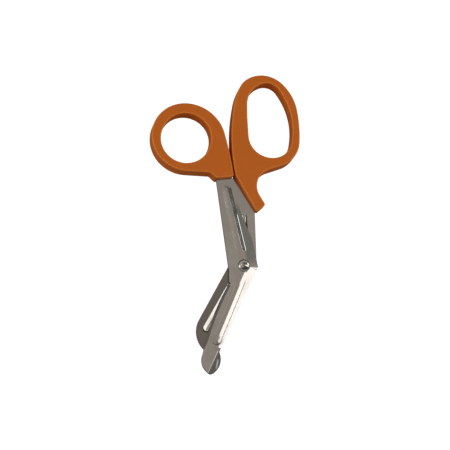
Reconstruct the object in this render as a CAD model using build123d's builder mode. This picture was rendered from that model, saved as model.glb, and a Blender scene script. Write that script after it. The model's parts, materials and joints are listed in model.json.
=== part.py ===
"""Bandage scissors with moulded handles, closed and lying flat.

Two halves are stamped from sheet steel and turn on one rivet. The lower blade is the front one and
ends in a folded safety foot. Everything is drawn around the rivet: its axis is Z, the handles lie
towards +Y, the blades towards -Y and the front side is up. At the end the parts are moved together
so that the middle of their base is the origin.
"""
import os
from math import radians, sqrt, tan

from build123d import *

os.makedirs("parts", exist_ok=True)

# Sheet steel of both halves, with its pressed ribs and ground bevels
sheet = 1.6
blade_gap = 0.06
rib_width = 5.2
rib_height = 0.9
bevel_width = 1.4
edge_land = 0.15
tooth_pitch = 1.0
tooth_depth = 0.3

# Rivet
rivet_shaft_radius = 2.0
rivet_clearance = 0.05
rivet_head_radius = 3.75
rivet_head_height = 2.3
rivet_rim = 0.3
rivet_tail_radius = 3.1
rivet_tail_height = 1.2
head_clearance = 0.03

# Lower blade: lengths run from the rivet along the spine, widths across it
lower_angle = 24.2
lower_spine = 8.2
lower_heel = 15.2
lower_heel_width = 3.55
lower_tip_width = 0.2
lower_edge_length = 45.6
lower_edge_bow = 1.4
heel_notch = 1.6
land_angle = 8.0
land_start = -1.0
land_end = 52.5

# Safety foot of the lower blade
foot_length = 7.8
foot_reach = 3.8
foot_neck = 6.4
foot_fold = 0.95
foot_angle = 42.5
foot_bend_radius = 0.4

# Outline of the foot, as shares of its length and of its width from the tip of the edge
foot_shape = [(0.55, 0.13), (0.955, 0.43), (0.99, 0.75), (0.6, 0.94), (-0.1, 1.0)]

# Shank of the lower blade: its sides, and the curve that runs into the elbow
shank_length = 54.0
shank_left = 9.1
shank_handle_left = 16.9
shank_handle_right = 6.3
shank_side_start = -4.0
elbow_height = 3.0
flare_start = (-3.4, 38.0)
flare_middle = (0.5, 27.2)
flare_end = (5.0, 17.0)

# Upper blade and its shank
upper_angle = 27.8
upper_spine = 7.9
upper_shoulder = 3.3
upper_straight = 42.5
upper_tip = 57.1
upper_heel = 13.5
upper_width = 4.1
upper_edge_bow = 0.7
upper_shank_right = 7.2
upper_shank_left = 6.3
upper_shank_flare = 0.6
upper_elbow = (8.2, 0.6)
upper_hilt = (3.9, -8.6)

# Ribs: how near they come to the rivet, how far they run and where they lie across the steel
rib_start = 7.5
lower_rib_end = 49.1
lower_rib_across = (2.0, 3.66)
upper_rib_start = 8.74
upper_rib_end = 45.5
upper_rib_across = (-0.93, -1.5)
shank_rib_start = 8.6
shank_rib_end = 6.4
shank_rib_x = (-1.5, -10.75)
upper_shank_rib_end = 22.6
upper_shank_rib_x = (1.8, 0.3)

# Tangs inside the handles
tang_length = 16.0
tang_width = 4.4
tang_neck = 2.0
lower_tang_x = -15.2
upper_tang_x = 0.0
tang_hole_radius = 1.7
tang_hole_height = 8.5

# Handles
handle_thickness = 10.0
edge_break = 0.7
corner_round = 1.3

thumb_ring_radius = 21.8
thumb_ring_x = -35.6
thumb_ring_base = 2.5
thumb_corner_x = -6.7
thumb_corner_height = 0.9
thumb_front_width = 10.7
thumb_front_slope = 1.6
thumb_step = 3.5
thumb_side = (-9.3, 16.0)
thumb_shoulder_place = (-12.2, 27.8)
thumb_hole_shift = (-0.6, -0.7)
thumb_wall = 5.7
thumb_hole_oval = 1.0
thumb_hole_turn = 68.0

finger_hole_width = 28.2
finger_hole_height = 49.6
finger_hole_left = 2.0
finger_hole_base = 13.7
finger_wall = 4.8
finger_back_wall = 10.15
finger_rest_length = 20.3
finger_lap = 0.8
finger_nose = (13.3, 4.9)
finger_heel = (-5.5, 2.0)
finger_arm_height = 7.0
finger_arm_drop = 1.9

# Finger rest, from its nose to the loop, measured from the end of the shank
finger_rest = [(9.3, -9.2), (15.2, 6.7)]
finger_rest_heading = 119.0

# Ends of the arcs of the finger hole and of the loop round it, as shares of their width and height
finger_hole_shape = [
    (0.31, 0.98), (-0.005, 0.697), (0.025, 0.27), (0.3, 0.043),
    (0.61, 0.018), (0.974, 0.217), (0.70, 0.925),
]
finger_loop_shape = [
    (0.746, 0.022), (0.995, 0.28), (0.964, 0.64), (0.735, 0.93),
    (0.2, 0.927), (0.14, 0.872), (0.054, 0.696), (0.011, 0.124),
]

# Values worked out from the sizes above
inner_face = blade_gap / 2
outer_face = inner_face + sheet
middle = inner_face + sheet / 2
rib_radius = (rib_width**2 / 4 + rib_height**2) / (2 * rib_height)
rib_axis = outer_face + rib_height - rib_radius
head_seat = outer_face + head_clearance
tang_top = shank_length + tang_length
room = 4 * handle_thickness
steepest_front = 0.95


def blade_plane(angle):
    """Plane of a blade: x runs from the rivet to the tip, leaning left by angle, y to its right."""
    return Plane(origin=(0, 0, 0), x_dir=Vector(0, -1, 0).rotate(Axis.Z, -angle), z_dir=(0, 0, 1))


def on(plane, along, across):
    """Point at a place along and across a blade."""
    return plane.from_local_coords(Vector(along, across, 0))


def rod(start, end, radius, height):
    """Straight rod with ball ends at one height: the inside or the outside of a pressed rib."""
    first = Vector(start.X, start.Y, height)
    last = Vector(end.X, end.Y, height)
    with BuildPart() as shape:
        with BuildSketch(Plane(first, z_dir=last - first)):
            Circle(radius)
        extrude(amount=(last - first).length)
        with Locations(first, last):
            Sphere(radius)
    return shape.part


def ridge(start, end, side):
    """Raised outside of a pressed rib, on the front for side 1 and on the back for side -1."""
    with BuildPart() as shape:
        add(rod(start, end, rib_radius, side * rib_axis))
        split(bisect_by=Plane.XY.offset(side * middle), keep=Keep.TOP if side > 0 else Keep.BOTTOM)
    return shape.part


def groove(start, end, side):
    """Hollow inside of the same rib, one sheet thickness further in."""
    return rod(start, end, rib_radius - sheet, side * rib_axis)


def bevel(edge, side):
    """Cone that grinds the bevel along a curved cutting edge, on the front or the back."""
    centre = edge.arc_center
    outward = (edge @ 0 - centre).normalized()
    steep = (sheet - edge_land) / bevel_width
    inside_edge = edge.radius - bevel_width
    outside_edge = edge.radius + bevel_width
    turned = (edge @ 0 - centre).get_signed_angle(edge @ 1 - centre, Vector(0, 0, 1))
    with BuildPart() as shape:
        with BuildSketch(Plane(centre, x_dir=outward, z_dir=outward.cross(Vector(0, 0, 1)))):
            Polygon(
                (inside_edge, side * outer_face),
                (outside_edge, side * (outer_face - 2 * bevel_width * steep)),
                (outside_edge, side * (outer_face + sheet)),
                (inside_edge, side * (outer_face + sheet)),
                align=None,
            )
        revolve(axis=Axis(centre, (0, 0, 1)), revolution_arc=turned)
    return shape.part


def shares(corner, width, height, shape):
    """Points of an outline that is given as shares of a box."""
    return [Vector(corner[0] + x * width, corner[1] + y * height) for x, y in shape]


def arc_chain(points, heading):
    """Arcs from point to point, each tangent to the one before, the first along heading."""
    for start, end in zip(points, points[1:]):
        arc = TangentArc(start, end, tangent=heading)
        heading = arc % 1


def closing_heading(points):
    """Heading at the first point with which arcs through an odd number of points close smoothly.

    Each arc mirrors its heading about its chord, so all of them together mirror it about one line.
    """
    first = (points[1] - points[0]).normalized()
    heading = first
    for start, end in zip(points, points[1:] + points[:1]):
        chord = (end - start).normalized()
        heading = chord * (2 * heading.dot(chord)) - heading
    return first + heading


def rounded(outline, corners):
    """Round the corners of an outline that lie at the given points."""
    fillet([outline.vertices().sort_by_distance(corner)[0] for corner in corners], corner_round)


# Lower blade: the stamped sheet seen from the front
lower = blade_plane(lower_angle)
edge_end = lower_heel + lower_edge_length
foot_root = edge_end - foot_neck
heel = on(lower, lower_heel, -lower_heel_width)
notch = on(lower, lower_heel - heel_notch, -lower_heel_width + heel_notch / 2)
edge_middle = on(
    lower,
    lower_heel + lower_edge_length / 2,
    -(lower_heel_width + lower_tip_width) / 2 - lower_edge_bow,
)
edge_tip = on(lower, edge_end, -lower_tip_width)
foot_width = lower_tip_width + lower_spine + foot_reach
foot_places = shares((edge_end, -lower_tip_width), foot_length, foot_width, foot_shape)
foot_outline = [on(lower, place.X, place.Y) for place in foot_places]
foot_start = on(lower, foot_root, lower_spine)
lower_elbow = on(lower, -elbow_height, lower_spine)

with BuildSketch() as lower_plan:
    with BuildLine():
        cutting_edge = ThreePointArc(heel, edge_middle, edge_tip)
        Spline(edge_tip, *foot_outline, foot_start)
        Polyline(foot_start, lower_elbow, flare_end)
        ThreePointArc(flare_end, flare_middle, flare_start)
        Polyline(
            flare_start,
            (-shank_handle_right, shank_length),
            (-shank_handle_right - tang_neck, shank_length + tang_neck),
            (lower_tang_x + tang_width / 2, tang_top),
            (lower_tang_x - tang_width / 2, tang_top),
            (-shank_handle_left, shank_length - tang_neck),
            (-shank_left, shank_side_start),
            (-shank_left, notch.Y + heel_notch / 2),
            notch,
            heel,
        )
    make_face()

crease = lower_spine - foot_fold
fold = crease - sheet
tab_run = foot_fold + foot_reach + sheet
lower_rib_from = on(lower, rib_start, lower_rib_across[0])
lower_rib_to = on(lower, lower_rib_end, lower_rib_across[1])
lower_shank_from = Vector(shank_rib_x[0], shank_rib_start)
lower_shank_to = Vector(shank_rib_x[1], shank_length - shank_rib_end)

# Plane of the ground land: x runs along the rib's foot, the normal leans towards the spine
rib_run = (lower_rib_to - lower_rib_from).normalized()
rib_side = Vector(-rib_run.Y, rib_run.X)
land_corner = lower_rib_from + rib_side * (rib_width / 2) + rib_run * (land_start - rib_start)
land_plane = Plane(
    land_corner + Vector(0, 0, outer_face),
    x_dir=rib_run,
    z_dir=Vector(0, 0, 1).rotate(Axis((0, 0, 0), rib_run), -land_angle),
)

# The foot's flange: a strip bent down along the spine line, cut to the foot's outline
with BuildPart() as flange:
    with BuildSketch(
        Plane(on(lower, foot_root, 0), x_dir=lower.y_dir, z_dir=lower.x_dir)
    ) as flange_section:
        with BuildLine():
            bend = Polyline(
                (fold, outer_face),
                (crease, outer_face),
                (crease + tab_run, outer_face - tab_run * tan(radians(foot_angle))),
            )
            offset(bend, amount=sheet, side=Side.RIGHT, kind=Kind.INTERSECTION)
        make_face()
        bend_corner = flange_section.vertices().sort_by_distance((crease, outer_face))[0]
        fillet(bend_corner, foot_bend_radius)
    extrude(amount=room)
    with BuildSketch(Plane.XY.offset(-room / 2)):
        add(lower_plan.sketch)
    extrude(amount=room, mode=Mode.INTERSECT)

with BuildPart() as lower_blade:
    with BuildSketch(Plane.XY.offset(inner_face)):
        add(lower_plan.sketch)
    extrude(amount=sheet)
    add(bevel(cutting_edge, 1), mode=Mode.SUBTRACT)
    # Ground land between the rib and the spine, sloping down to the spine
    with BuildSketch(land_plane):
        Rectangle(land_end - land_start, room, align=(Align.MIN, Align.MIN))
    extrude(amount=sheet, mode=Mode.SUBTRACT)
    # The sheet beyond the fold gives way to the flange
    with BuildSketch(lower.offset(-room / 2)):
        with Locations((foot_root, fold)):
            Rectangle(room, room, align=(Align.MIN, Align.MIN))
    extrude(amount=room, mode=Mode.SUBTRACT)
    add(flange.part)
    # Pressed ribs
    add(ridge(lower_rib_from, lower_rib_to, 1))
    add(ridge(lower_shank_from, lower_shank_to, 1))
    add(groove(lower_rib_from, lower_rib_to, 1), mode=Mode.SUBTRACT)
    add(groove(lower_shank_from, lower_shank_to, 1), mode=Mode.SUBTRACT)
    # Serrations along the cutting edge
    tooth_count = int(cutting_edge.length / tooth_pitch)
    with BuildSketch(Plane.XY.offset(-sheet)):
        for tooth in range(tooth_count):
            share = (tooth + 0.5) / tooth_count
            spot = cutting_edge @ share
            heading = (cutting_edge % share).get_signed_angle(Vector(1, 0, 0))
            with Locations(Location(spot, (0, 0, heading))):
                Rectangle(sqrt(2) * tooth_depth, sqrt(2) * tooth_depth, rotation=45)
    extrude(amount=4 * sheet, mode=Mode.SUBTRACT)
    # Rivet hole and the hole that keys the tang into its handle
    with Locations((0, 0, 0)):
        Hole(rivet_shaft_radius + rivet_clearance, depth=room)
    with Locations((lower_tang_x, shank_length + tang_hole_height, 0)):
        Hole(tang_hole_radius, depth=room)


# Upper blade: the same sheet seen from the front, its ribs and bevel on the back
upper = blade_plane(upper_angle)
upper_heel_point = on(upper, upper_heel, upper_width)
upper_tip_point = on(upper, upper_tip, upper_width)
upper_edge_middle = on(upper, (upper_heel + upper_tip) / 2, upper_width + upper_edge_bow)
upper_spine_start = on(upper, upper_shoulder, -upper_spine)
upper_spine_end = on(upper, upper_straight, -upper_spine)
upper_neck = shank_length - finger_rest_length
with BuildSketch() as upper_plan:
    with BuildLine():
        upper_edge = ThreePointArc(upper_heel_point, upper_edge_middle, upper_tip_point)
        TangentArc(upper_spine_end, upper_tip_point, tangent=upper.x_dir)
        Polyline(
            upper_spine_end,
            upper_spine_start,
            (-upper_shank_left - upper_shank_flare, rivet_head_radius + upper_shank_left),
            (-upper_shank_left, shank_length - tang_neck),
            (upper_tang_x - tang_width, shank_length + 2 * tang_neck),
            (upper_tang_x - tang_width / 2, tang_top),
            (upper_tang_x + tang_width / 2, tang_top),
            (upper_tang_x + tang_width, shank_length),
            (upper_shank_right, upper_neck),
            upper_elbow,
            upper_hilt,
            upper_heel_point,
        )
    make_face()

upper_rib_from = on(upper, upper_rib_start, upper_rib_across[0])
upper_rib_to = on(upper, upper_rib_end, upper_rib_across[1])
upper_shank_from = Vector(upper_shank_rib_x[0], shank_rib_start)
upper_shank_to = Vector(upper_shank_rib_x[1], shank_length - upper_shank_rib_end)

with BuildPart() as upper_blade:
    with BuildSketch(Plane.XY.offset(-inner_face)):
        add(upper_plan.sketch)
    extrude(amount=-sheet)
    add(bevel(upper_edge, -1), mode=Mode.SUBTRACT)
    add(ridge(upper_rib_from, upper_rib_to, -1))
    add(ridge(upper_shank_from, upper_shank_to, -1))
    add(groove(upper_rib_from, upper_rib_to, -1), mode=Mode.SUBTRACT)
    add(groove(upper_shank_from, upper_shank_to, -1), mode=Mode.SUBTRACT)
    # The rivet's seat and the hole that keys the tang into its handle
    with Locations((0, 0, 0)):
        Hole(rivet_shaft_radius, depth=room)
    with Locations((upper_tang_x, shank_length + tang_hole_height, 0)):
        Hole(tang_hole_radius, depth=room)

# Pivot rivet: shaft, domed head on the front and peened tail on the back
with BuildPart() as pivot_rivet:
    with BuildSketch(Plane.XZ):
        with BuildLine():
            tail_face = -outer_face - rivet_tail_height
            TangentArc(
                (0, head_seat + rivet_head_height),
                (rivet_head_radius, head_seat + rivet_rim),
                tangent=(1, 0),
            )
            Polyline(
                (rivet_head_radius, head_seat + rivet_rim),
                (rivet_head_radius, head_seat),
                (rivet_shaft_radius, head_seat),
                (rivet_shaft_radius, -outer_face),
                (rivet_tail_radius, -outer_face),
                (rivet_tail_radius, -outer_face - rivet_rim),
            )
            TangentArc((0, tail_face), (rivet_tail_radius, -outer_face - rivet_rim), tangent=(1, 0))
            Line((0, tail_face), (0, head_seat + rivet_head_height))
        make_face()
    revolve(axis=Axis.Z)


def moulded(outline, hole, slope=None):
    """Handle body: its front half with broken edges, cut down by a slope across X, mirrored."""
    with BuildPart() as body:
        with BuildSketch():
            add(outline)
            add(hole, mode=Mode.SUBTRACT)
        extrude(amount=handle_thickness / 2)
        rims = body.faces().sort_by(Axis.Z)[-1].edges()
        if slope:
            split(bisect_by=slope, keep=Keep.BOTTOM)
            front = body.faces().filter_by(lambda face: face.normal_at().Z > steepest_front)
            rims = front.edges().filter_by(Axis.X, reverse=True)
        chamfer(rims, edge_break)
        mirror(about=Plane.XY)
    return body.part


# Thumb handle: the round ring and its web round the lower blade's tang
ring_middle = Vector(thumb_ring_x, shank_length + thumb_ring_base + thumb_ring_radius)
ring_top = ring_middle + Vector(0, thumb_ring_radius)
ring_base = ring_middle - Vector(0, thumb_ring_radius)
thumb_corner = Vector(thumb_corner_x, shank_length + thumb_corner_height)
thumb_side_point = Vector(thumb_side[0], shank_length + thumb_side[1])
thumb_shoulder = Vector(thumb_shoulder_place[0], shank_length + thumb_shoulder_place[1])
thumb_front = thumb_corner - Vector(thumb_front_width, thumb_front_slope)
thumb_step_point = Vector(thumb_front.X - thumb_step, ring_base.Y)
with BuildSketch() as thumb_outline:
    with BuildLine():
        ThreePointArc(ring_top, ring_middle - Vector(thumb_ring_radius, 0), ring_base)
        Polyline(ring_base, thumb_step_point, thumb_front, thumb_corner)
        ThreePointArc(thumb_corner, thumb_side_point, thumb_shoulder)
        TangentArc(ring_top, thumb_shoulder, tangent=(1, 0))
    make_face()
    rounded(thumb_outline, [thumb_step_point, thumb_front, thumb_corner, thumb_shoulder])
with BuildSketch() as thumb_hole:
    with Locations(ring_middle + Vector(*thumb_hole_shift)):
        SlotOverall(
            2 * (thumb_ring_radius - thumb_wall),
            2 * (thumb_ring_radius - thumb_wall - thumb_hole_oval),
            rotation=thumb_hole_turn,
        )

with BuildPart() as thumb_handle:
    add(moulded(thumb_outline.sketch, thumb_hole.sketch))
    add(lower_blade.part, mode=Mode.SUBTRACT)

# Finger handle: the long loop with its finger rest round the upper blade's tang
hole_corner = (finger_hole_left, shank_length + finger_hole_base)
loop_corner = (finger_hole_left - finger_back_wall, hole_corner[1] - finger_wall)
loop_width = finger_back_wall + finger_hole_width + finger_wall
loop_height = finger_hole_height + 2 * finger_wall
finger_rest_points = [Vector(x, shank_length + y) for x, y in finger_rest]
finger_heel_point = Vector(finger_heel[0], shank_length + finger_heel[1])
finger_nose_point = Vector(finger_nose[0], upper_neck + finger_nose[1])
finger_front = Vector(upper_shank_right + finger_lap, upper_neck)
arm_start = Vector(0, shank_length + finger_arm_height, handle_thickness / 2)
arm_fall = finger_arm_drop / (finger_arm_height + finger_rest_length)
arm_plane = Plane(arm_start, x_dir=(1, 0, 0), z_dir=(0, -arm_fall, 1))
finger_loop_points = shares(loop_corner, loop_width, loop_height, finger_loop_shape)
finger_hole_points = shares(hole_corner, finger_hole_width, finger_hole_height, finger_hole_shape)
with BuildSketch() as finger_outline:
    with BuildLine():
        arc_chain(
            [*finger_rest_points, *finger_loop_points, finger_heel_point],
            Vector(1, 0).rotate(Axis.Z, finger_rest_heading),
        )
        Polyline(finger_heel_point, finger_front, finger_nose_point, finger_rest_points[0])
    make_face()
    rounded(
        finger_outline,
        [finger_heel_point, finger_front, finger_nose_point, finger_rest_points[0]],
    )
with BuildSketch() as finger_hole:
    with BuildLine():
        arc_chain(
            [*finger_hole_points, finger_hole_points[0]],
            closing_heading(finger_hole_points),
        )
    make_face()

with BuildPart() as finger_handle:
    add(moulded(finger_outline.sketch, finger_hole.sketch, arm_plane))
    add(upper_blade.part, mode=Mode.SUBTRACT)

# Move the whole part so that the middle of its base is the origin
pieces = [lower_blade, upper_blade, pivot_rivet, thumb_handle, finger_handle]
bounds = Compound([piece.part for piece in pieces]).bounding_box()
to_base = Location((-bounds.center().X, -bounds.center().Y, -bounds.min.Z))
for piece in pieces:
    piece.part.move(to_base)

lower_blade.part.label = "lower_blade"
upper_blade.part.label = "upper_blade"
pivot_rivet.part.label = "pivot_rivet"
thumb_handle.part.label = "thumb_handle"
finger_handle.part.label = "finger_handle"

export_step(lower_blade.part, "parts/lower_blade.step")
export_step(upper_blade.part, "parts/upper_blade.step")
export_step(pivot_rivet.part, "parts/pivot_rivet.step")
export_step(thumb_handle.part, "parts/thumb_handle.step")
export_step(finger_handle.part, "parts/finger_handle.step")
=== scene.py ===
"""Bandage scissors with orange moulded handles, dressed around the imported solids.

The steel sheets and the rivet are the frame's own solids. The handles are shells that follow theirs
with softer rims, and a small radius is swept round the foot of each pressed rib. Lengths are in metres,
apart from places on a sheet and the edges of its zones, which are in millimetres.
"""

import json
import logging
from abc import ABC, abstractmethod
from dataclasses import dataclass
from enum import Enum
from math import atan2, cos, pi, radians, sin, tan

import bmesh
import bpy
from mathutils import Matrix, Vector


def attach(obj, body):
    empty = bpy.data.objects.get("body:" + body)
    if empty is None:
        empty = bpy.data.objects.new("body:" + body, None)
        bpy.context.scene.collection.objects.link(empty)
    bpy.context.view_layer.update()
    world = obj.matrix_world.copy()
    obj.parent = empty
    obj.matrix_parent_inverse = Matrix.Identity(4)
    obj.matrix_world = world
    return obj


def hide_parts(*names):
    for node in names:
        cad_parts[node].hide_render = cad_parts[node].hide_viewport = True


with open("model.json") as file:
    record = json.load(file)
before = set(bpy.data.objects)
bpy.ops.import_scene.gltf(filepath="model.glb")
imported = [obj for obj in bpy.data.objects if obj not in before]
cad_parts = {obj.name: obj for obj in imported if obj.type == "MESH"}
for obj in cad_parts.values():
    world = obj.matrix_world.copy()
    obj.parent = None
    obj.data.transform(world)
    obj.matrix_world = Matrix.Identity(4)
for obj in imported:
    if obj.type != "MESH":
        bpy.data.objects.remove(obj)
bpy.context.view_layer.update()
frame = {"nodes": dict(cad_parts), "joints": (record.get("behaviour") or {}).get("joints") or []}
MM = 0.001
IMAGE_SIDE = 450
UP = Vector((0.0, 0.0, 1.0))
ORIGIN = (0.0, 0.0, 0.0)
LAND_DEGREES = 8.0
BLOTCH_RANGE = (0.3, 0.7)

# From the plane between the two sheets to a sheet's outer face
OUTER_FACE = 1.63 * MM

# Half a pressed rib's width and the reach of the radius at its foot, in millimetres
RIB_HALF_WIDTH = 2.6
FOOT_REACH = 0.4

# Ends of a zone's fade where the zone lies away from its line
OUTSIDE = (0.0, 1.0)

log = logging.getLogger("scissors")

Triple = tuple[float, float, float]
Pair = tuple[float, float]
Value = bpy.types.NodeSocket | float | Triple


class Half(Enum):
    """The two halves that turn on the rivet, named as the frame's bodies."""

    LOWER = "lower_half"
    UPPER = "upper_half"


class Slot(Enum):
    """The record's finishes for the steel and the plastic; nothing here uses them."""

    STEEL = "blade_steel"
    PLASTIC = "handle_plastic"


def fill_sockets(node: bpy.types.Node, **values: object) -> bpy.types.Node:
    """Set a node's sockets by name, with spaces written as underscores.

    Args:
        node: The node to fill in.
        **values: Socket names and their values.

    Returns:
        The same node.
    """
    for name, value in values.items():
        node.inputs[name.replace("_", " ")].default_value = value
    return node


@dataclass
class Shading:
    """A shader node tree under construction, with short calls for the nodes that it uses."""

    tree: bpy.types.NodeTree

    def add(self, kind: str, **settings: object) -> bpy.types.Node:
        """Add a node and set its properties.

        Args:
            kind: The node's type name, such as ShaderNodeMath.
            **settings: Properties of the node.

        Returns:
            The new node.
        """
        node = self.tree.nodes.new(kind)
        for name, value in settings.items():
            setattr(node, name, value)
        return node

    def join(self, source: Value, target: bpy.types.NodeSocket) -> None:
        """Link a socket, or store a plain value in the target.

        Args:
            source: An output socket, a number or a tuple.
            target: The input socket.
        """
        if isinstance(source, bpy.types.NodeSocket):
            self.tree.links.new(source, target)
        else:
            target.default_value = source

    def maths(self, operation: str, first: Value, second: Value = 0.0) -> bpy.types.NodeSocket:
        """Add a Math node.

        Args:
            operation: The operation's name.
            first: First operand.
            second: Second operand.

        Returns:
            The node's output.
        """
        node = self.add("ShaderNodeMath", operation=operation)
        self.join(first, node.inputs[0])
        self.join(second, node.inputs[1])
        return node.outputs[0]

    def vectors(self, operation: str, first: Value, second: Value = (0.0, 0.0, 0.0)) -> bpy.types.Node:
        """Add a Vector Math node.

        Args:
            operation: The operation's name.
            first: First operand.
            second: Second operand.

        Returns:
            The node, whose outputs are Vector and Value.
        """
        node = self.add("ShaderNodeVectorMath", operation=operation)
        self.join(first, node.inputs[0])
        self.join(second, node.inputs[1])
        return node

    def scaled(self, vector: Value, factor: Value) -> bpy.types.NodeSocket:
        """A vector times a number.

        Args:
            vector: The vector.
            factor: The number.

        Returns:
            The scaled vector.
        """
        node = self.add("ShaderNodeVectorMath", operation="SCALE")
        self.join(vector, node.inputs[0])
        self.join(factor, node.inputs["Scale"])
        return node.outputs["Vector"]

    def ramp(self, value: Value, low: float, high: float, ends: Pair = (0.0, 1.0)) -> bpy.types.NodeSocket:
        """Map a value smoothly from one range to another.

        Args:
            value: The value to map.
            low: Where the range starts.
            high: Where the range ends.
            ends: The results at its start and end.

        Returns:
            The mapped value.
        """
        node = self.add("ShaderNodeMapRange", interpolation_type="SMOOTHSTEP")
        self.join(value, node.inputs["Value"])
        fill_sockets(node, From_Min=low, From_Max=high, To_Min=ends[0], To_Max=ends[1])
        return node.outputs["Result"]

    def blend(self, share: Value, first: Value, second: Value) -> bpy.types.NodeSocket:
        """Mix two colours.

        Args:
            share: How much of the second colour shows.
            first: First colour.
            second: Second colour.

        Returns:
            The mixed colour.
        """
        node = self.add("ShaderNodeMix", data_type="RGBA")
        self.join(share, node.inputs[0])
        for colour, socket in ((first, node.inputs[6]), (second, node.inputs[7])):
            self.join(colour + (1.0,) if isinstance(colour, tuple) else colour, socket)
        return node.outputs[2]

    def place(self) -> bpy.types.NodeSocket:
        """The point on the piece, in its own coordinates."""
        return self.add("ShaderNodeTexCoord").outputs["Object"]

    def turned(self, vector: Value, source: str, target: str) -> bpy.types.NodeSocket:
        """A normal carried from one space to another.

        Args:
            vector: The normal.
            source: The space it is in.
            target: The space it is wanted in.

        Returns:
            The normal in the wanted space.
        """
        node = self.add("ShaderNodeVectorTransform", vector_type="NORMAL")
        node.convert_from, node.convert_to = source, target
        self.join(vector, node.inputs[0])
        return node.outputs[0]

    def own_normal(self) -> bpy.types.NodeSocket:
        """The surface's normal, in the piece's own space."""
        return self.turned(self.add("ShaderNodeNewGeometry").outputs["Normal"], "WORLD", "OBJECT")


def new_group(
    name: str, inputs: dict[str, float | Triple], outputs: dict[str, str]
) -> tuple[Shading, bpy.types.Node, bpy.types.Node]:
    """Start a shader node group.

    Args:
        name: The group's name.
        inputs: Names and defaults of its inputs.
        outputs: Names and socket types of its outputs.

    Returns:
        The group's builder, and its input and output nodes.
    """
    tree = bpy.data.node_groups.new(name, "ShaderNodeTree")
    for label, value in inputs.items():
        kind = "NodeSocketVector" if isinstance(value, tuple) else "NodeSocketFloat"
        tree.interface.new_socket(label, in_out="INPUT", socket_type=kind).default_value = value
    for label, kind in outputs.items():
        tree.interface.new_socket(label, in_out="OUTPUT", socket_type=kind)
    build = Shading(tree)
    return build, build.add("NodeGroupInput"), build.add("NodeGroupOutput")


def surface_grain_group() -> bpy.types.NodeTree:
    """Fine grain, slow blotches and a height, shared by the steel and the plastic.

    Returns:
        The group.
    """
    build, given, out = new_group(
        "surface_grain",
        {"Grain Scale": 3000.0, "Blotch Scale": 60.0, "Grain Depth": 0.00001},
        {"Grain": "NodeSocketFloat", "Blotch": "NodeSocketFloat", "Height": "NodeSocketFloat"},
    )
    point = build.place()
    for label, detail in (("Grain", 2.0), ("Blotch", 4.0)):
        noise = build.add("ShaderNodeTexNoise")
        build.join(point, noise.inputs["Vector"])
        build.join(given.outputs[label + " Scale"], noise.inputs["Scale"])
        noise.inputs["Detail"].default_value = detail
        build.join(noise.outputs["Fac"], out.inputs[label])
        if label == "Grain":
            height = build.maths("MULTIPLY", noise.outputs["Fac"], given.outputs["Grain Depth"])
            build.join(height, out.inputs["Height"])
    return build.tree


def line_distance_group() -> bpy.types.NodeTree:
    """How far a point lies from a line on the sheet, seen from above.

    Returns:
        The group.
    """
    build, given, out = new_group(
        "line_distance", {"Start": (0.0, 0.0, 0.0), "End": (1.0, 0.0, 0.0)}, {"Distance": "NodeSocketFloat"}
    )
    flat = build.vectors("MULTIPLY", build.place(), (1.0, 1.0, 0.0)).outputs["Vector"]
    offset = build.vectors("SUBTRACT", flat, given.outputs["Start"]).outputs["Vector"]
    span = build.vectors("SUBTRACT", given.outputs["End"], given.outputs["Start"]).outputs["Vector"]
    reach = build.vectors("DOT_PRODUCT", offset, span).outputs["Value"]
    whole = build.vectors("DOT_PRODUCT", span, span).outputs["Value"]
    share = build.maths("MINIMUM", build.maths("MAXIMUM", build.maths("DIVIDE", reach, whole), 0.0), 1.0)
    nearest = build.vectors("SUBTRACT", offset, build.scaled(span, share)).outputs["Vector"]
    build.join(build.vectors("LENGTH", nearest).outputs["Value"], out.inputs["Distance"])
    return build.tree


def steer_normal_group() -> bpy.types.NodeTree:
    """Lean the normal of what faces up towards a direction, by a share.

    Returns:
        The group.
    """
    build, given, out = new_group(
        "steer_normal",
        {"Normal": (0.0, 0.0, 1.0), "Towards": (0.0, 0.0, 1.0), "Share": 0.0},
        {"Normal": "NodeSocketVector"},
    )
    normal = given.outputs["Normal"]
    steep, gentle = 0.3, 0.6
    upward = build.vectors("DOT_PRODUCT", normal, tuple(UP)).outputs["Value"]
    share = build.maths("MULTIPLY", build.ramp(upward, steep, gentle), given.outputs["Share"])
    change = build.vectors("SUBTRACT", given.outputs["Towards"], normal).outputs["Vector"]
    leaned = build.vectors("ADD", normal, build.scaled(change, share)).outputs["Vector"]
    build.join(build.vectors("NORMALIZE", leaned).outputs["Vector"], out.inputs["Normal"])
    return build.tree


@dataclass
class Effects:
    """The shader effects that several finishes share."""

    grain: bpy.types.NodeTree
    distance: bpy.types.NodeTree
    steer: bpy.types.NodeTree

    @classmethod
    def make(cls) -> "Effects":
        """Build each effect once."""
        return cls(surface_grain_group(), line_distance_group(), steer_normal_group())


@dataclass(frozen=True)
class Past:
    """A zone that begins gradually where a direction has been followed for some way."""

    origin: Triple
    direction: Vector
    low: float
    high: float

    def mask(self, build: Shading, effects: Effects) -> bpy.types.NodeSocket:
        """How much of the zone's effect a point gets.

        Args:
            build: The material under construction.
            effects: The shared effects; not used.

        Returns:
            The zone's mask.
        """
        offset = build.vectors("SUBTRACT", build.place(), self.origin).outputs["Vector"]
        reach = build.vectors("DOT_PRODUCT", offset, tuple(self.direction)).outputs["Value"]
        return build.ramp(reach, self.low * MM, self.high * MM)


@dataclass(frozen=True)
class Near:
    """A zone around a line, which fades from one distance to another."""

    start: Triple
    end: Triple
    low: float
    high: float
    ends: Pair = (1.0, 0.0)

    def mask(self, build: Shading, effects: Effects) -> bpy.types.NodeSocket:
        """How much of the zone's effect a point gets.

        Args:
            build: The material under construction.
            effects: The shared effects.

        Returns:
            The zone's mask.
        """
        node = build.add("ShaderNodeGroup", node_tree=effects.distance)
        fill_sockets(node, Start=self.start, End=self.end)
        return build.ramp(node.outputs["Distance"], self.low * MM, self.high * MM, self.ends)


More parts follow.
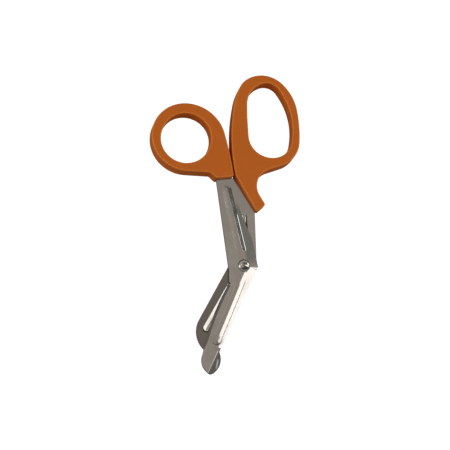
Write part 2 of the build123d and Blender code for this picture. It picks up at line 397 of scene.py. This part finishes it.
Zones = tuple[Past | Near, ...]

# What lies more than about 6 mm above the table: the lower sheet's front face
FRONT = Past(ORIGIN, UP, 5.9, 6.1)


def band(start: Triple, end: Triple, inner: Pair, outer: Pair) -> tuple[Near, Near]:
    """A band round a line.

    Args:
        start: The line's start.
        end: The line's end.
        inner: The distances over which the band begins.
        outer: The distances over which it ends.

    Returns:
        The two zones that bound it.
    """
    return Near(start, end, *inner, OUTSIDE), Near(start, end, *outer)


def leaned(side: Vector, degrees: float) -> Triple:
    """A normal that leans from straight up towards a side."""
    return tuple(side * sin(radians(degrees)) + UP * cos(radians(degrees)))


def zone_mask(build: Shading, effects: Effects, zones: Zones, share: float) -> bpy.types.NodeSocket:
    """The product of several zones and a share.

    Args:
        build: The material under construction.
        effects: The shared effects.
        zones: The zones, all of which must hold.
        share: The mask's highest value.

    Returns:
        The mask.
    """
    mask: Value = share
    for zone in zones:
        mask = build.maths("MULTIPLY", mask, zone.mask(build, effects))
    return mask


@dataclass(frozen=True)
class Lean:
    """A patch of sheet that leans a little, or a steep spot that was stoned smoother."""

    zones: Zones
    towards: Triple
    share: float = 1.0


@dataclass(frozen=True)
class Stain:
    """A patch of another colour."""

    zones: Zones
    colour: Triple
    share: float
    patchy: bool = False


@dataclass(frozen=True)
class Finish:
    """What all finishes share: two colours in blotches, a sheen that varies with them, and a grain."""

    name: str
    colour: Triple
    mottle: Triple
    roughness: float
    roughness_spread: float
    grain_scale: float
    grain_depth: float
    blotch_scale: float

    def start(self, effects: Effects) -> tuple[Shading, bpy.types.Node, bpy.types.Node]:
        """Start the material, and vary its roughness with the blotches.

        Args:
            effects: The shared effects.

        Returns:
            The material's builder, its shader node and its grain node.
        """
        build, shader = start_material(self.name)
        grain = build.add("ShaderNodeGroup", node_tree=effects.grain)
        fill_sockets(grain, Grain_Scale=self.grain_scale, Blotch_Scale=self.blotch_scale)
        fill_sockets(grain, Grain_Depth=self.grain_depth)
        spread = (self.roughness - self.roughness_spread, self.roughness + self.roughness_spread)
        build.join(build.ramp(grain.outputs["Blotch"], *BLOTCH_RANGE, spread), shader.inputs["Roughness"])
        return build, shader, grain

    def raise_grain(self, build: Shading, shader: bpy.types.Node, grain: bpy.types.Node) -> bpy.types.Node:
        """Raise the grain as bump.

        Args:
            build: The material's builder.
            shader: Its shader node.
            grain: Its grain node.

        Returns:
            The bump node.
        """
        bump = build.add("ShaderNodeBump")
        fill_sockets(bump, Strength=1.0, Distance=1.0)
        build.join(grain.outputs["Height"], bump.inputs["Height"])
        build.join(bump.outputs[0], shader.inputs["Normal"])
        return bump


@dataclass(frozen=True)
class SteelFinish(Finish):
    """Tumbled stainless steel."""

    colour: Triple = (0.50, 0.482, 0.455)
    mottle: Triple = (0.455, 0.436, 0.408)
    roughness: float = 0.18
    roughness_spread: float = 0.04
    grain_scale: float = 2500.0
    grain_depth: float = 0.0000012
    blotch_scale: float = 140.0
    patch_range: Pair = (0.38, 0.50)
    leans: tuple[Lean, ...] = ()
    stains: tuple[Stain, ...] = ()

    def material(self, effects: Effects) -> bpy.types.Material:
        """Build the material.

        Args:
            effects: The shared effects.

        Returns:
            The finished material.
        """
        build, shader, grain = self.start(effects)
        colour = build.blend(grain.outputs["Blotch"], self.mottle, self.colour)
        for stain in self.stains:
            mask = zone_mask(build, effects, stain.zones, stain.share)
            if stain.patchy:
                mask = build.maths("MULTIPLY", mask, build.ramp(grain.outputs["Grain"], *self.patch_range))
            colour = build.blend(mask, colour, stain.colour)
        build.join(colour, shader.inputs["Base Color"])
        normal = build.own_normal()
        for lean in self.leans:
            node = build.add("ShaderNodeGroup", node_tree=effects.steer)
            fill_sockets(node, Towards=lean.towards)
            build.join(normal, node.inputs["Normal"])
            build.join(zone_mask(build, effects, lean.zones, lean.share), node.inputs["Share"])
            normal = node.outputs["Normal"]
        bump = self.raise_grain(build, shader, grain)
        build.join(build.turned(normal, "OBJECT", "WORLD"), bump.inputs["Normal"])
        shader.inputs["Metallic"].default_value = 1.0
        return bpy.data.materials[self.name]


@dataclass(frozen=True)
class PlasticFinish(Finish):
    """Orange moulded plastic with a satin skin, and a painted highlight along its rims."""

    name: str = "moulded_orange"
    colour: Triple = (0.72, 0.178, 0.0208)
    mottle: Triple = (0.67, 0.164, 0.0180)
    roughness: float = 0.5
    roughness_spread: float = 0.05
    grain_scale: float = 900.0
    grain_depth: float = 0.00003
    blotch_scale: float = 120.0
    # Colour and share of the painted highlight along the rims
    rim_highlight: Triple = (0.98, 0.30, 0.050)
    rim_highlight_share: float = 0.75
    rim_begins: Pair = (0.35, 0.6)
    rim_ends: Pair = (0.8, 0.95)
    specular: float = 0.12

    def material(self, effects: Effects) -> bpy.types.Material:
        """Build the material.

        Args:
            effects: The shared effects.

        Returns:
            The finished material.
        """
        build, shader, grain = self.start(effects)
        # Painted highlight on the rims, where the surface is neither flat nor upright
        upward = build.vectors("DOT_PRODUCT", build.own_normal(), tuple(UP)).outputs["Value"]
        level = build.maths("ABSOLUTE", upward)
        begins, ends = build.ramp(level, *self.rim_begins), build.ramp(level, *self.rim_ends, (1.0, 0.0))
        rim = build.maths("MULTIPLY", build.maths("MULTIPLY", begins, ends), self.rim_highlight_share)
        skin = build.blend(grain.outputs["Blotch"], self.mottle, self.colour)
        build.join(build.blend(rim, skin, self.rim_highlight), shader.inputs["Base Color"])
        self.raise_grain(build, shader, grain)
        shader.inputs["Specular IOR Level"].default_value = self.specular
        return bpy.data.materials[self.name]


def start_material(name: str) -> tuple[Shading, bpy.types.Node]:
    """Start a material with one Principled shader.

    Args:
        name: The material's name.

    Returns:
        The material's builder and its shader node.
    """
    material = bpy.data.materials.new(name)
    material.use_nodes = True
    material.node_tree.nodes.clear()
    build = Shading(material.node_tree)
    shader = build.add("ShaderNodeBsdfPrincipled")
    build.join(shader.outputs[0], build.add("ShaderNodeOutputMaterial").inputs["Surface"])
    return build, shader


@dataclass(frozen=True)
class Panel:
    """A soft light panel whose middle line runs between two points measured from the rivet."""

    name: str
    start: Triple
    end: Triple
    width: float
    radiance: float
    colour: Triple = (1.0, 0.985, 0.965)
    level: bool = False

    def hang(self, pivot: Vector) -> None:
        """Hang the panel, facing the rivet or straight down.

        Args:
            pivot: Where the rivet is.
        """
        start, end = Vector(self.start), Vector(self.end)
        length = (end - start).length
        run = (end - start) / length
        middle = (start + end) / 2
        away = UP if self.level else (middle - run * middle.dot(run)).normalized()
        data = bpy.data.lights.new(self.name, "AREA")
        data.shape = "RECTANGLE"
        data.size, data.size_y = self.width, length
        data.energy = pi * self.radiance * self.width * length
        data.color = self.colour
        light = bpy.data.objects.new(self.name, data)
        bpy.context.scene.collection.objects.link(light)
        light.location = pivot + middle
        light.rotation_euler = Matrix((run.cross(away), run, away)).transposed().to_euler()


@dataclass
class Studio:
    """White table, soft panels and the camera over the blades."""

    pivot: Vector
    lean: Pair = (-0.20, -0.30)
    distance: float = 0.9
    metres_per_pixel: float = 0.000603
    rivet_pixel: Pair = (244.5, 265.0)
    rivet_height: float = 0.003
    table_side: float = 6.0
    table_colour: float = 0.35
    room_colour: Triple = (1.0, 0.96, 0.91)
    room_glow: float = 0.27
    dark_corner: Triple = (0.64, 0.42, 0.65)
    dark_spread: Pair = (11.0, 20.0)
    dark_glow: float = 0.12
    low_glow: float = 0.26
    low_edges: Pair = (0.26, 0.46)
    front_glow: float = 0.20
    front_edges: Pair = (0.45, 0.7)
    panels: tuple[Panel, ...] = (
        Panel("ceiling", (-1.85, -1.13, 1.1), (-0.71, 1.00, 1.1), 2.6, 0.208, (1.0, 0.84, 0.70), True),
        Panel("back_left", (-1.5, 1.2, 0.9), (-0.3, 1.5, 0.9), 0.8, 0.16, (1.0, 0.84, 0.70)),
        Panel("right_strip", (0.40, 0.20, 1.10), (1.18, -0.09, 0.21), 0.38, 2.0, (1.0, 0.985, 0.985)),
        Panel("right_back", (0.90, 0.72, 0.31), (1.20, 0.25, 0.31), 0.24, 3.0, (0.91, 1.0, 0.98)),
        Panel("left_box", (-1.1, -0.1, 0.06), (-1.0, -0.1, 0.56), 0.7, 2.0),
        Panel("left_window", (-0.86, 0.30, 1.1), (-0.80, 0.52, 1.1), 0.20, 2.4),
    )

    def camera_axes(self) -> tuple[Vector, Vector, Vector]:
        """Directions of the camera: back towards it, right and up.

        Returns:
            The three directions.
        """
        back = Vector((self.lean[0], self.lean[1], 1.0)).normalized()
        right = (-back).cross(Vector((0, 1, 0))).normalized()
        return back, right, right.cross(-back)

    def target(self) -> Vector:
        """Point at the picture's middle, level with the joint between the blades.

        Returns:
            The point on which the camera is centred.
        """
        back, right, up = self.camera_axes()
        focal = self.distance / self.metres_per_pixel
        middle = IMAGE_SIDE / 2
        ray = -back * focal + right * (self.rivet_pixel[0] - middle) + up * (middle - self.rivet_pixel[1])
        reach = (self.rivet_height - back.z * self.distance) / ray.z
        seen = back * self.distance + ray * reach
        return Vector((self.pivot.x - seen.x, self.pivot.y - seen.y, self.pivot.z))

    def place_camera(self) -> None:
        """Create the camera and make it the scene's."""
        back, right, up = self.camera_axes()
        data = bpy.data.cameras.new("camera")
        data.sensor_width = 36.0
        data.lens = data.sensor_width * self.distance / (self.metres_per_pixel * IMAGE_SIDE)
        camera = bpy.data.objects.new("camera", data)
        bpy.context.scene.collection.objects.link(camera)
        camera.location = self.target() + back * self.distance
        camera.rotation_euler = Matrix((right, up, back)).transposed().to_euler()
        bpy.context.scene.camera = camera

    def place_table(self) -> None:
        """Lay the white table under the scissors."""
        half = self.table_side / 2
        corners = [(-half, -half, 0), (half, -half, 0), (half, half, 0), (-half, half, 0)]
        mesh = bpy.data.meshes.new("table")
        mesh.from_pydata(corners, [], [(0, 1, 2, 3)])
        table = bpy.data.objects.new("table", mesh)
        bpy.context.scene.collection.objects.link(table)
        build, shader = start_material("white_table")
        grey = (self.table_colour,) * 3 + (1.0,)
        fill_sockets(shader, Base_Color=grey, Roughness=0.8, Emission_Color=(1, 1, 1, 1))
        seen = build.add("ShaderNodeLightPath").outputs["Is Camera Ray"]
        build.join(seen, shader.inputs["Emission Strength"])
        mesh.materials.append(bpy.data.materials["white_table"])

    def place_room(self) -> None:
        """Surround the table with a soft grey room that has one dark corner.

        Its low walls and the wall in front glow only in reflections.
        """
        world = bpy.data.worlds.new("studio")
        world.use_nodes = True
        build = Shading(world.node_tree)
        background = world.node_tree.nodes["Background"]
        background.inputs["Color"].default_value = self.room_colour + (1.0,)
        heading = build.add("ShaderNodeTexCoord").outputs["Generated"]
        corner = tuple(Vector(self.dark_corner).normalized())
        towards = build.vectors("DOT_PRODUCT", heading, corner).outputs["Value"]
        edges = (cos(radians(self.dark_spread[1])), cos(radians(self.dark_spread[0])))
        glow = build.ramp(towards, edges[0], edges[1], (self.room_glow, self.dark_glow))
        rise = build.vectors("DOT_PRODUCT", heading, tuple(UP)).outputs["Value"]
        nearness = build.vectors("DOT_PRODUCT", heading, (0.0, -1.0, 0.0)).outputs["Value"]
        walls = build.maths(
            "ADD",
            build.ramp(rise, *self.low_edges, (self.low_glow, 0.0)),
            build.ramp(nearness, *self.front_edges, (0.0, self.front_glow)),
        )
        glossy = build.maths("MULTIPLY", walls, build.add("ShaderNodeLightPath").outputs["Is Glossy Ray"])
        build.join(build.maths("ADD", glow, glossy), background.inputs["Strength"])
        bpy.context.scene.world = world

    def build(self) -> None:
        """Set the whole studio up."""
        scene = bpy.context.scene
        scene.view_settings.view_transform = "Standard"
        self.place_room()
        self.place_camera()
        self.place_table()
        for panel in self.panels:
            panel.hang(self.pivot)


@dataclass
class Handle:
    """A moulded handle: the solid's own form with its rims and corners rounded."""

    node: str
    half: Half
    rim: float = 0.22 * MM
    rim_steps: int = 2
    sharp: float = radians(24)
    flat: float = radians(0.4)
    weld: float = 0.001 * MM

    def build(self, material: bpy.types.Material) -> bpy.types.Object:
        """Copy the solid, round its rims and let it stand for the node.

        Args:
            material: The plastic.

        Returns:
            The new piece.
        """
        mesh = frame["nodes"][self.node].data.copy()
        mesh.materials.clear()
        shape = bmesh.new()
        shape.from_mesh(mesh)
        bmesh.ops.remove_doubles(shape, verts=shape.verts, dist=self.weld)
        bmesh.ops.dissolve_limit(shape, angle_limit=self.flat, verts=shape.verts, edges=shape.edges)
        shape.to_mesh(mesh)
        shape.free()
        mesh.materials.append(material)
        for face in mesh.polygons:
            face.use_smooth = True
        piece = bpy.data.objects.new(self.node + "_shell", mesh)
        bpy.context.scene.collection.objects.link(piece)
        bevel = piece.modifiers.new("rounded_rims", "BEVEL")
        bevel.width, bevel.segments = self.rim, self.rim_steps
        bevel.limit_method, bevel.angle_limit = "ANGLE", self.sharp
        piece.modifiers.new("face_normals", "WEIGHTED_NORMAL")
        rounded = baked(piece)
        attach(piece, self.half.value)
        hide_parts(self.node)
        log.info("%s: %d faces", piece.name, len(rounded.polygons))
        return piece


@dataclass
class RibFoot:
    """The small radius pressed in where a rib rises from the sheet, swept round the rib."""

    name: str
    half: Half
    start: Triple
    end: Triple
    face: float
    side: int
    half_width: float = RIB_HALF_WIDTH * MM
    reach: float = FOOT_REACH * MM
    flank: float = radians(34.4)
    bed: float = 0.05 * MM
    steps: int = 5
    turns: int = 10
    end_share: float = 0.4999
    weld: float = 0.0001 * MM
    sharp: float = radians(30)

    def profile(self) -> bpy.types.Mesh:
        """The radius's closed outline: a hollow arc from the sheet to the rib's flank, and its bed.

        Returns:
            The outline, as a closed loop of edges.
        """
        radius = self.reach / tan(self.flank / 2)
        angles = [self.flank * step / self.steps for step in range(self.steps + 1)]
        outline = [(radius * sin(angle) - self.reach, radius * (1 - cos(angle))) for angle in angles]
        inner, top = outline[-1]
        outline += [(inner + self.bed, top - self.bed), (self.bed, -self.bed), (-self.reach, -self.bed)]
        mesh = bpy.data.meshes.new(self.name + "_profile")
        count = len(outline)
        places = [(-across, -rise * self.side, 0.0) for across, rise in outline]
        mesh.from_pydata(places, [(index, (index + 1) % count) for index in range(count)], [])
        return mesh

    def tree(self) -> bpy.types.NodeTree:
        """The nodes that sweep a profile round a straight rib with round ends.

        Returns:
            The node tree.
        """
        tree = bpy.data.node_groups.new(self.name + "_sweep", "GeometryNodeTree")
        socket = tree.interface.new_socket
        socket("Geometry", in_out="INPUT", socket_type="NodeSocketGeometry")
        for label in ("Length", "Width", "Turn"):
            socket(label, in_out="INPUT", socket_type="NodeSocketFloat")
        socket("Middle", in_out="INPUT", socket_type="NodeSocketVector")
        socket("Material", in_out="INPUT", socket_type="NodeSocketMaterial")
        socket("Geometry", in_out="OUTPUT", socket_type="NodeSocketGeometry")
        build = Shading(tree)
        given, out = build.add("NodeGroupInput"), build.add("NodeGroupOutput")
        outline = build.add("GeometryNodeMeshToCurve")
        build.join(given.outputs["Geometry"], outline.inputs["Mesh"])
        frame_curve = build.add("GeometryNodeCurvePrimitiveQuadrilateral")
        build.join(given.outputs["Length"], frame_curve.inputs["Width"])
        build.join(given.outputs["Width"], frame_curve.inputs["Height"])
        ends = build.add("GeometryNodeFilletCurve", mode="POLY")
        build.join(frame_curve.outputs["Curve"], ends.inputs["Curve"])
        ends.inputs["Count"].default_value = self.turns
        build.join(build.maths("MULTIPLY", given.outputs["Width"], self.end_share), ends.inputs["Radius"])
        sweep = build.add("GeometryNodeCurveToMesh")
        build.join(ends.outputs["Curve"], sweep.inputs["Curve"])
        build.join(outline.outputs["Curve"], sweep.inputs["Profile Curve"])
        turn = build.add("ShaderNodeCombineXYZ")
        build.join(given.outputs["Turn"], turn.inputs["Z"])
        placed = build.add("GeometryNodeTransform")
        build.join(sweep.outputs["Mesh"], placed.inputs["Geometry"])
        build.join(given.outputs["Middle"], placed.inputs["Translation"])
        build.join(turn.outputs["Vector"], placed.inputs["Rotation"])
        real = build.add("GeometryNodeRealizeInstances")
        build.join(placed.outputs["Geometry"], real.inputs["Geometry"])
        finish = build.add("GeometryNodeSetMaterial")
        build.join(real.outputs["Geometry"], finish.inputs["Geometry"])
        build.join(given.outputs["Material"], finish.inputs["Material"])
        build.join(finish.outputs["Geometry"], out.inputs["Geometry"])
        return tree

    def build(self, material: bpy.types.Material) -> bpy.types.Object:
        """Sweep the radius and let it ride with its sheet.

        Args:
            material: The sheet's steel.

        Returns:
            The new piece.
        """
        start, end = Vector(self.start), Vector(self.end)
        run = end - start
        middle = (start + end) / 2 + UP * self.face
        values = {
            "Length": run.length + 2 * self.half_width,
            "Width": 2 * self.half_width,
            "Turn": atan2(run.y, run.x),
            "Middle": middle,
            "Material": material,
        }
        piece = bpy.data.objects.new(self.name, self.profile())
        bpy.context.scene.collection.objects.link(piece)
        sweep = piece.modifiers.new("sweep", "NODES")
        sweep.node_group = self.tree()
        for item in sweep.node_group.interface.items_tree:
            if item.in_out == "INPUT" and item.name in values:
                sweep[item.identifier] = values[item.name]
        swept = baked(piece)
        shape = bmesh.new()
        shape.from_mesh(swept)
        bmesh.ops.remove_doubles(shape, verts=shape.verts, dist=self.weld)
        bmesh.ops.recalc_face_normals(shape, faces=shape.faces)
        shape.to_mesh(swept)
        shape.free()
        swept.shade_smooth()
        swept.set_sharp_from_angle(angle=self.sharp)
        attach(piece, self.half.value)
        log.info("%s: %d faces", piece.name, len(swept.polygons))
        return piece


def baked(piece: bpy.types.Object) -> bpy.types.Mesh:
    """Turn a piece's modifiers into its plain mesh.

    Args:
        piece: The piece, whose modifiers are taken off.

    Returns:
        The piece's new mesh.
    """
    bpy.context.view_layer.update()
    mesh = bpy.data.meshes.new_from_object(piece.evaluated_get(bpy.context.evaluated_depsgraph_get()))
    piece.modifiers.clear()
    piece.data = mesh
    return mesh


def dress(node: str, material: bpy.types.Material) -> None:
    """Give a solid its material.

    Args:
        node: The solid's name.
        material: The material for all its faces.
    """
    mesh = frame["nodes"][node].data
    mesh.materials.clear()
    mesh.materials.append(material)
    log.info("%s: %s", node, material.name)


@dataclass(frozen=True)
class Sheet(ABC):
    """One half's stamped sheet: its blade's heading from straight down, and its pressed ribs.

    The blade rib's ends are along and across the blade, the shank rib's right of the rivet and above it.
    """

    pivot: Vector
    half: Half
    heading: float
    blade_rib: tuple[Pair, Pair]
    shank_rib: tuple[Pair, Pair]
    rib_side: int

    @property
    def side(self) -> str:
        """The half's short name, with which its pieces begin."""
        return self.half.name.lower()

    @property
    def down(self) -> Vector:
        """Direction from the rivet to the blade's tip."""
        return Vector((-sin(self.heading), -cos(self.heading), 0.0))

    @property
    def across(self) -> Vector:
        """Direction to the right of the blade."""
        return Vector((cos(self.heading), -sin(self.heading), 0.0))

    @property
    def land(self) -> Triple:
        """Normal of the blade's ground land."""
        return leaned(self.across, LAND_DEGREES)

    def point(self, along: float, across: float) -> Triple:
        """A place on the blade, from millimetres along and across it."""
        place = self.pivot + (self.down * along + self.across * across) * MM
        return (place.x, place.y, 0.0)

    def shank_point(self, right: float, above: float) -> Triple:
        """A place on the shank, from millimetres right of the rivet and above it."""
        place = self.pivot + Vector((right, above, 0.0)) * MM
        return (place.x, place.y, 0.0)

    def rib_ends(self) -> tuple[Triple, Triple]:
        """Both ends of the blade's rib."""
        return self.point(*self.blade_rib[0]), self.point(*self.blade_rib[1])

    def shank_ends(self) -> tuple[Triple, Triple]:
        """Both ends of the shank's rib, the one near the rivet first."""
        return self.shank_point(*self.shank_rib[0]), self.shank_point(*self.shank_rib[1])

    @abstractmethod
    def leans(self) -> tuple[Lean, ...]:
        """Where the sheet leans a little or was stoned smoother."""

    @abstractmethod
    def stains(self) -> tuple[Stain, ...]:
        """The sheet's patches of painted shade."""

    def build(self, effects: Effects) -> None:
        """Dress the sheet and sweep the radius round both its ribs.

        Args:
            effects: The shared effects.
        """
        node = f"{self.side}_blade"
        steel = SteelFinish(f"{node}_steel", leans=self.leans(), stains=self.stains()).material(effects)
        dress(node, steel)
        face = self.pivot.z + self.rib_side * OUTER_FACE
        for rib, ends in (("blade", self.rib_ends()), ("shank", self.shank_ends())):
            RibFoot(f"{self.side}_{rib}_rib_foot", self.half, *ends, face, self.rib_side).build(steel)


@dataclass(frozen=True)
class LowerSheet(Sheet):
    """The front half's sheet: painted shade darkens its shank right of the rib, and the ribs' ends run out
    softly.
    """

    half: Half = Half.LOWER
    heading: float = radians(24.2)
    blade_rib: tuple[Pair, Pair] = ((7.5, 2.0), (49.1, 3.66))
    shank_rib: tuple[Pair, Pair] = ((-1.5, 8.6), (-10.75, 47.6))
    rib_side: int = 1
    foot_tab: tuple[Pair, Pair] = ((59.0, 9.6), (63.5, 10.8))
    # Colour of painted shade in the crease beside the blade's rib, broken up by the grain
    crease_shade: Triple = (0.13, 0.09, 0.075)
    # Colour of painted shade, tinted like the reflected room, on the shank right of its rib
    shank_shade: Triple = (0.26, 0.28, 0.265)
    # Colour of painted shade on the wall of the blade's left edge
    edge_wall_shade: Triple = (0.17, 0.15, 0.135)
    # Colour of painted shade on the folded tab of the foot
    tab_shade: Triple = (0.23, 0.218, 0.20)

    def shank_axes(self) -> tuple[Vector, Vector]:
        """Directions up the shank's rib and to its right.

        Returns:
            The two directions.
        """
        low, high = self.shank_ends()
        along = (Vector(high) - Vector(low)).normalized()
        return along, Vector((along.y, -along.x, 0.0))

    def shank_leans(self) -> tuple[Lean, ...]:
        """The shank rib's soft ends, and the flanks beside its crown and at its foot.

        Returns:
            The leans.
        """
        low, high = self.shank_ends()
        along, beside = self.shank_axes()
        right, left = Past(low, beside, 0.0, 0.3), Past(low, -beside, 0.0, 0.3)
        foot_end = (RIB_HALF_WIDTH + FOOT_REACH, RIB_HALF_WIDTH + FOOT_REACH + 0.1)
        foot = band(low, high, (RIB_HALF_WIDTH - 0.05, RIB_HALF_WIDTH + 0.05), foot_end)
        flank = band(low, high, (1.7, 1.9), foot_end)
        cap = band(high, high, (1.4, 1.8), (3.4, 3.8))
        return (
            Lean((Near(low, low, 3.1, 4.6), Past(low, -along, -0.7, 0.2)), tuple(UP), 0.95),
            Lean((FRONT, *cap, Past(high, along, -1.0, 0.2)), tuple(UP), 0.97),
            Lean(
                (FRONT, *flank, right, Past(low, along, -0.5, 0.5), Past(high, -along, -1.5, 0.5)),
                leaned(beside, 17.0),
                0.9,
            ),
            Lean(
                (FRONT, *foot, right, Past(low, along, -0.7, 0.3), Past(high, -along, 9.0, 21.0)),
                leaned(beside, 30.0),
            ),
            Lean(
                (FRONT, *foot, left, Past(low, along, -0.5, 1.5), Past(high, -along, -1.0, 1.0)),
                leaned(-beside, 37.0),
                0.9,
            ),
        )

    def blade_leans(self) -> tuple[Lean, ...]:
        """The foot's tab, the blade rib's soft ends, and the land beside the rivet.

        Returns:
            The leans.
        """
        start, end = self.rib_ends()
        tab_top, tab_low = self.point(*self.foot_tab[0]), self.point(*self.foot_tab[1])
        rivet = self.point(0.0, 0.0)
        around = Near(start, start, 3.4, 5.4)
        beside_rivet = (
            FRONT,
            Past(rivet, Vector((0.0, -1.0, 0.0)), 0.1, 1.5),
            Past(rivet, self.across, 2.7, 3.6),
            Past(self.point(10.0, 0.0), -self.down, 0.0, 2.0),
        )
        return (
            Lean((Near(tab_top, tab_low, 0.2, 0.6),), self.land, 0.6),
            Lean((around, Past(start, -self.across, -0.2, 0.2)), tuple(UP), 0.95),
            Lean((around, Past(start, self.across, -0.2, 0.2)), self.land),
            Lean((Near(end, end, 2.4, 4.4),), tuple(UP), 0.7),
            Lean(beside_rivet, self.land),
        )

    def leans(self) -> tuple[Lean, ...]:
        """Where the sheet leans a little or was stoned smoother."""
        return self.shank_leans() + self.blade_leans()

    def stains(self) -> tuple[Stain, ...]:
        """Painted shade in the crease beside the blade's rib, on the shank right of its rib, on the left
        edge's wall and on the foot's tab.

        Returns:
            The stains.
        """
        start, end = self.rib_ends()
        low, high = self.shank_ends()
        along, beside = self.shank_axes()
        beside_rib = (
            *band(start, end, (2.3, 2.5), (2.85, 3.1)),
            Past(start, self.across, 0.0, 1.0),
            Past(start, self.down, 0.0, 2.0),
        )
        shank = (
            FRONT,
            Past(low, beside, 1.6, 3.0),
            Past(low, along, -11.0, -4.0),
            Past(high, -along, 6.0, 17.0),
        )
        left_edge = (
            Past(ORIGIN, -UP, -6.5, -6.35),
            Past(ORIGIN, UP, 5.06, 5.12),
            Past(self.point(0.0, 0.0), -self.across, 0.0, 1.0),
        )
        foot = (
            Past(self.point(0.0, 7.25), self.across, 0.0, 0.2),
            Past(self.point(54.0, 0.0), self.down, 0.0, 1.0),
        )
        return (
            # Painted shade in the crease beside the blade's rib
            Stain(beside_rib, self.crease_shade, 0.85, patchy=True),
            # Painted shade on the shank right of its rib
            Stain(shank, self.shank_shade, 0.88),
            # Painted shade on the wall of the left edge, between about 5 and 6.5 mm up
            Stain(left_edge, self.edge_wall_shade, 0.85),
            # Painted shade on the foot's tab
            Stain(foot, self.tab_shade, 0.88),
        )


@dataclass(frozen=True)
class UpperSheet(Sheet):
    """The back half's sheet: painted shade darkens the hollow's shaded side and end, and its inner face
    beside the hollow of the blade's rib.
    """

    half: Half = Half.UPPER
    heading: float = radians(27.8)
    blade_rib: tuple[Pair, Pair] = ((8.74, -0.93), (45.5, -1.5))
    shank_rib: tuple[Pair, Pair] = ((1.8, 8.6), (0.3, 31.4))
    rib_side: int = -1
    bright_end: Pair = (44.3, -1.75)
    # Colour of painted shade on the hollow's shaded side and end
    hollow: Triple = (0.11, 0.09, 0.075)
    # Colour of painted shade on the inner face beside the hollow
    inner_face_shade: Triple = (0.215, 0.198, 0.182)
    inner_face: Past = Past(ORIGIN, UP, 4.0, 4.2)

    def leans(self) -> tuple[Lean, ...]:
        """The bright side of the hollow.

        Returns:
            The one lean.
        """
        start, _ = self.rib_ends()
        bright = Near(start, self.point(*self.bright_end), 1.95, 2.1)
        return (Lean((self.inner_face, bright, Past(start, -self.across, -0.65, -0.3)), self.land, 0.9),)

    def stains(self) -> tuple[Stain, ...]:
        """Painted shade on the hollow's dark side and end, and on the inner face beside it.

        Returns:
            The stains.
        """
        start, end = self.rib_ends()
        bright_end = self.point(*self.bright_end)
        dark_side = (self.inner_face, Near(start, end, 1.95, 2.1), Past(start, self.across, 0.4, 0.8))
        dark_end = (
            self.inner_face,
            Near(end, end, 2.0, 2.2),
            Near(bright_end, bright_end, 1.9, 2.1, OUTSIDE),
            Past(bright_end, self.down, -0.8, 0.2),
        )
        face = (
            self.inner_face,
            Past(self.point(4.0, 0.0), self.down, 0.0, 2.0),
            Near(start, end, 1.95, 2.15, OUTSIDE),
        )
        return (
            # Painted shade on the hollow's dark side and at its end
            Stain(dark_side, self.hollow, 0.75),
            Stain(dark_end, self.hollow, 0.85),
            # Painted shade on the inner face beside the hollow
            Stain(face, self.inner_face_shade, 0.9),
        )


@dataclass(frozen=True)
class Rivet:
    """The pivot rivet: polished, with painted shade on its crown, round its edge and on its lower side."""

    pivot: Vector
    node: str = "pivot_rivet"
    polish: Triple = (0.60, 0.58, 0.55)
    mottle: Triple = (0.56, 0.54, 0.51)
    # Colour of painted shade on the crown, in place of the dark reflection there
    crown: Triple = (0.31, 0.29, 0.27)
    # Colour of painted shade round the dome's edge, where it meets the sheet
    ring: Triple = (0.13, 0.12, 0.11)
    # Colour of painted shade on the rivet's lower side, towards lower_side
    lower_shade: Triple = (0.06, 0.056, 0.052)
    lower_side: Triple = (0.25, -1.0, 0.0)

    def build(self, effects: Effects) -> None:
        """Dress the rivet.

        Args:
            effects: The shared effects.
        """
        centre = (self.pivot.x, self.pivot.y, 0.0)
        shaded = Past(centre, Vector(self.lower_side).normalized(), 0.7, 1.9)
        stains = (
            # Painted shade on the crown
            Stain((Near(centre, centre, 0.9, 1.8),), self.crown, 0.9),
            # Painted shade round the dome's edge
            Stain((Near(centre, centre, 2.5, 3.6, OUTSIDE),), self.ring, 0.8),
            # Painted shade on the rivet's lower side
            Stain((Near(centre, centre, 2.7, 3.3), shaded), self.lower_shade, 0.92),
        )
        finish = SteelFinish(
            "polished_rivet",
            self.polish,
            self.mottle,
            roughness=0.1,
            roughness_spread=0.02,
            blotch_scale=300.0,
            stains=stains,
        )
        dress(self.node, finish.material(effects))


def main() -> None:
    """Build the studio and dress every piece."""
    logging.basicConfig(level=logging.INFO, format="%(name)s: %(message)s")
    pivot = Vector(frame["joints"][0]["pos_m"])
    Studio(pivot).build()
    effects = Effects.make()
    for sheet in (LowerSheet(pivot), UpperSheet(pivot)):
        sheet.build(effects)
    Rivet(pivot).build(effects)
    plastic = PlasticFinish().material(effects)
    for handle in (Handle("thumb_handle", Half.LOWER), Handle("finger_handle", Half.UPPER)):
        handle.build(plastic)


if __name__ == "__main__":
    main()
